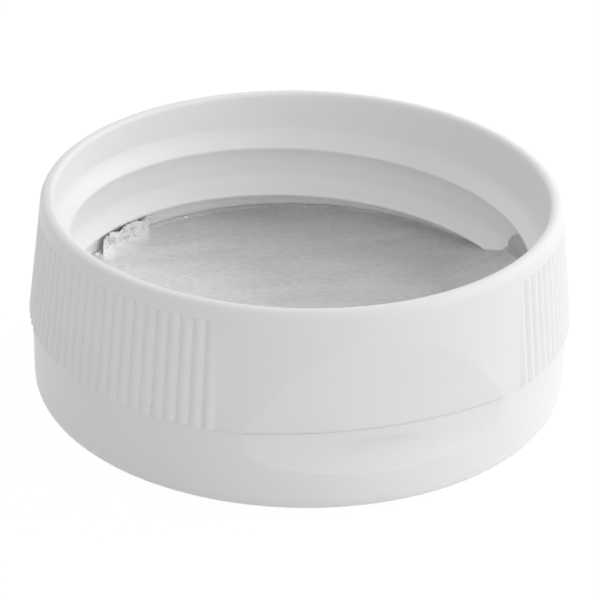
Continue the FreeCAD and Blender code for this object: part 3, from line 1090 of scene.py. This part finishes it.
@dataclass(frozen=True)
class BrushedFoil:
    """The liner's aluminium foil, with fine diagonal brush marks and painted light that fades along X."""

    name: str = "brushed_foil"
    dark: Colour = (0.85, 0.85, 0.85)
    light: Colour = (1.0, 1.0, 1.0)
    tones: Span = (0.4, 0.6)
    roughness: Span = (0.4, 0.52)
    brush_turn: float = 50.0
    brush_stretch: float = 3.0
    metallic: float = 0.5
    # Painted light: how much the foil's colour is scaled at -X and at +X, between the two X positions
    # below.
    painted_light: Span = (1.0, 0.64)
    painted_light_from: float = -18 * MM
    painted_light_to: float = 3 * MM
    relief: float = 0.03 * MM
    relief_strength: float = 0.9

    def build(self, tone: NodeTree) -> Material:
        """Puts the material together.

        Args:
            tone: The shared uneven tone.

        Returns:
            The material.
        """
        shader = Shader(self.name)
        values = shader.surface.inputs
        along = shader.stretch((1.0, self.brush_stretch, 1.0), self.brush_turn)
        effect = shader.group(tone, along, Broad_Scale=160.0, Fine_Scale=1500.0, Fine_Share=0.6)
        colour = shader.ramp(effect.outputs["Tone"], self.tones, self.dark, self.light)
        # The base colour carries painted light along X.
        shader.link(self.paint_light_across(shader, colour), values["Base Color"])
        shader.link(shader.between(effect.outputs["Tone"], self.roughness), values["Roughness"])
        shader.roughen(effect.outputs["Relief"], self.relief_strength, self.relief)
        set_inputs(shader.surface, Metallic=self.metallic)
        return shader.material

    def paint_light_across(self, shader: Shader, colour: NodeSocket) -> NodeSocket:
        """Dims a colour softly along X: painted light, brighter at -X and darker towards +X, in place of
        the foil's changing reflection.

        Args:
            shader: The material that is being put together.
            colour: The colour's socket.

        Returns:
            The dimmed colour's socket.
        """
        split = shader.tree.nodes.new("ShaderNodeSeparateXYZ")
        shader.link(shader.place, split.inputs["Vector"])
        share = shader.between(split.outputs["X"], self.painted_light)
        share.node.interpolation_type = "SMOOTHSTEP"
        set_inputs(share.node, From_Min=self.painted_light_from, From_Max=self.painted_light_to)
        dimmed = shader.tree.nodes.new("ShaderNodeVectorMath")
        dimmed.operation = "SCALE"
        shader.link(colour, dimmed.inputs[0])
        shader.link(share, dimmed.inputs["Scale"])
        return dimmed.outputs["Vector"]


@dataclass(frozen=True)
class SoftLamp:
    """A square soft lamp that points at the closure."""

    name: str
    azimuth: float
    elevation: float
    power: float
    size: float = 0.3
    distance: float = 0.4


@dataclass
class Studio:
    """The camera, the pale floor and the soft lights.

    The camera's azimuth runs from -Y towards +X, and a lamp's from the camera's side to its right.
    """

    target: Triple = (0.0, 0.0, 6.85 * MM)
    distance: float = 220 * MM
    azimuth: float = -17.9
    elevation: float = 27.55
    focal_pixels: float = 2825.0
    frame_pixels: float = 600.0
    clip_start: float = 10 * MM
    roll: float = 1.3
    ambient: float = 0.44
    floor_side: float = 3.0
    floor_drop: float = 0.01 * MM
    floor_colour: Colour = (0.9, 0.9, 0.9)
    floor_white: float = 0.94
    floor_glow: float = 1.03
    lamps: tuple[SoftLamp, ...] = (
        SoftLamp("right_lamp", 80, 18, 0.38),
        SoftLamp("low_front_lamp", 35, 14, 0.14),
        SoftLamp("front_lamp", 10, 50, 0.08),
        SoftLamp("left_lamp", -75, 60, 0.03),
        SoftLamp("back_right_lamp", 130, 40, 0.5),
        SoftLamp("back_left_lamp", -140, 35, 0.15),
    )

    def direction(self, azimuth: float, elevation: float) -> Vector:
        """The unit direction towards a place round the object, by degrees from -Y and over the floor."""
        turn, rise = math.radians(azimuth), math.radians(elevation)
        level = math.cos(rise)
        return Vector((level * math.sin(turn), -level * math.cos(turn), math.sin(rise)))

    def aim(self, item: Object, place: Vector, roll: float = 0.0) -> None:
        """Puts a camera or lamp at a place and points it at the closure.

        Args:
            item: The camera or lamp.
            place: Where it goes.
            roll: Its turn about its own view, in degrees.
        """
        view = Vector(self.target) - place
        turn = view.to_track_quat("-Z", "Y") @ Quaternion((0, 0, 1), math.radians(roll))
        item.location = place
        item.rotation_euler = turn.to_euler()

    def add_camera(self) -> None:
        """Adds the camera at the photograph's angle."""
        lens = bpy.data.cameras.new("photo_camera")
        lens.sensor_fit = "HORIZONTAL"
        lens.angle = 2 * math.atan(self.frame_pixels / 2 / self.focal_pixels)
        lens.clip_start = self.clip_start
        camera = bpy.data.objects.new("photo_camera", lens)
        bpy.context.scene.collection.objects.link(camera)
        place = Vector(self.target) + self.direction(self.azimuth, self.elevation) * self.distance
        self.aim(camera, place, self.roll)
        bpy.context.scene.camera = camera

    def add_lamp(self, lamp: SoftLamp) -> None:
        """Adds one soft lamp from its name, place, size and power."""
        data = bpy.data.lights.new(lamp.name, "AREA")
        data.shape = "SQUARE"
        data.size = lamp.size
        data.energy = lamp.power
        item = bpy.data.objects.new(lamp.name, data)
        bpy.context.scene.collection.objects.link(item)
        direction = self.direction(self.azimuth + lamp.azimuth, lamp.elevation)
        self.aim(item, Vector(self.target) + direction * lamp.distance)

    def seen_directly(self, tree: NodeTree) -> NodeSocket:
        """A mask of the rays that show the background: from the camera, a mirror or glass.

        Args:
            tree: The node tree that gets the mask.

        Returns:
            The mask's socket.
        """
        path = tree.nodes.new("ShaderNodeLightPath")
        mask = path.outputs["Is Camera Ray"]
        for name in ("Is Glossy Ray", "Is Transmission Ray"):
            either = tree.nodes.new("ShaderNodeMath")
            either.operation = "MAXIMUM"
            tree.links.new(mask, either.inputs[0])
            tree.links.new(path.outputs[name], either.inputs[1])
            mask = either.outputs["Value"]
        return mask

    def light_world(self) -> None:
        """Makes the world white where it is seen, and a plain soft light to the object."""
        world = bpy.data.worlds.new("studio")
        bpy.context.scene.world = world
        world.use_nodes = True
        tree = world.node_tree
        background = tree.nodes["Background"]
        set_inputs(background, Color=(1, 1, 1, 1))
        level = tree.nodes.new("ShaderNodeMapRange")
        set_inputs(level, To_Min=self.ambient, To_Max=1.0)
        tree.links.new(self.seen_directly(tree), level.inputs["Value"])
        tree.links.new(level.outputs["Result"], background.inputs["Strength"])

    def lay_floor(self) -> None:
        """Lays a white floor that keeps a faint shadow."""
        bpy.ops.object.select_all(action="DESELECT")
        bpy.ops.mesh.primitive_plane_add(size=self.floor_side, location=(0, 0, -self.floor_drop))
        floor = bpy.context.active_object
        floor.name = "floor"
        settle()
        material = bpy.data.materials.new("white_floor")
        material.use_nodes = True
        tree = material.node_tree
        tree.nodes.clear()
        matt = tree.nodes.new("ShaderNodeBsdfDiffuse")
        set_inputs(matt, Color=(*self.floor_colour, 1))
        white = tree.nodes.new("ShaderNodeEmission")
        set_inputs(white, Color=(1, 1, 1, 1), Strength=self.floor_glow)
        mix = tree.nodes.new("ShaderNodeMixShader")
        out = tree.nodes.new("ShaderNodeOutputMaterial")
        share = tree.nodes.new("ShaderNodeMath")
        share.operation = "MULTIPLY"
        share.inputs[1].default_value = self.floor_white
        tree.links.new(self.seen_directly(tree), share.inputs[0])
        tree.links.new(share.outputs["Value"], mix.inputs["Fac"])
        tree.links.new(matt.outputs["BSDF"], mix.inputs[1])
        tree.links.new(white.outputs["Emission"], mix.inputs[2])
        tree.links.new(mix.outputs["Shader"], out.inputs["Surface"])
        floor.data.materials.append(material)

    def build(self) -> None:
        """Sets the whole studio up."""
        bpy.context.scene.view_settings.view_transform = "Standard"
        self.add_camera()
        self.light_world()
        self.lay_floor()
        for lamp in self.lamps:
            self.add_lamp(lamp)


def dress(piece: Object, material: Material) -> None:
    """Gives a piece one material."""
    piece.data.materials.clear()
    piece.data.materials.append(material)


def mount(piece: Object, body: Body, node: str) -> None:
    """Ties a finished piece to its body and the CAD node that it stands for.

    Args:
        piece: The piece.
        body: The body that it moves with.
        node: The CAD node that it replaces.
    """
    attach(piece, body.value)
    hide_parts(node)
    LOG.info("%s stands for %s", piece.name, node)


def main() -> None:
    """Builds the closure's pieces in order, dresses them and sets the studio up."""
    logging.basicConfig(level=logging.INFO)
    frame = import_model()
    sizes = ClosureSizes()
    tone = uneven_tone()
    plastic = SatinPolypropylene().build(tone)
    # Painted light: the lid gets a lighter copy of the base's plastic, standing in for the brighter light
    # it takes from the floor.
    lid_plastic_painted_light = SatinPolypropylene(
        "lid_polypropylene_painted_light",
        dark=(0.955, 0.955, 0.955),
        light=(0.985, 0.985, 0.985),
    ).build(tone)
    foil = BrushedFoil().build(tone)
    crumpled = BrushedFoil(
        "crumpled_foil",
        dark=(0.95, 0.95, 0.95),
        roughness=(0.2, 0.35),
        brush_stretch=1.0,
        metallic=0.9,
    ).build(tone)
    pad = HingePad(sizes)
    thumb_scoop = ThumbScoop(sizes)
    scoop = thumb_scoop.build()
    base_pad = pad.build("base_pad", sizes.base_foot, 1)
    base = ClosureBase(sizes).build(scoop, base_pad, NeckThread(sizes).build())
    lid = FlipLid(sizes).build(scoop, pad.build("lid_pad", sizes.seam_height, -1))
    thumb_scoop.sharpen_outline(base)
    thumb_scoop.sharpen_outline(lid)
    bpy.data.objects.remove(scoop)
    dress(base, plastic)
    mount(base, Body.BASE, "closure_base")
    dress(lid, lid_plastic_painted_light)
    mount(lid, Body.LID, "flip_lid")
    disc, low_tab, tall_tab = FoilLiner(sizes).build()
    for piece, finish in ((disc, foil), (low_tab, crumpled), (tall_tab, foil)):
        dress(piece, finish)
        mount(piece, Body.BASE, "seal_liner")
    dress(frame["nodes"]["living_hinge"], plastic)
    Studio().build()


if __name__ == "__main__":
    main()
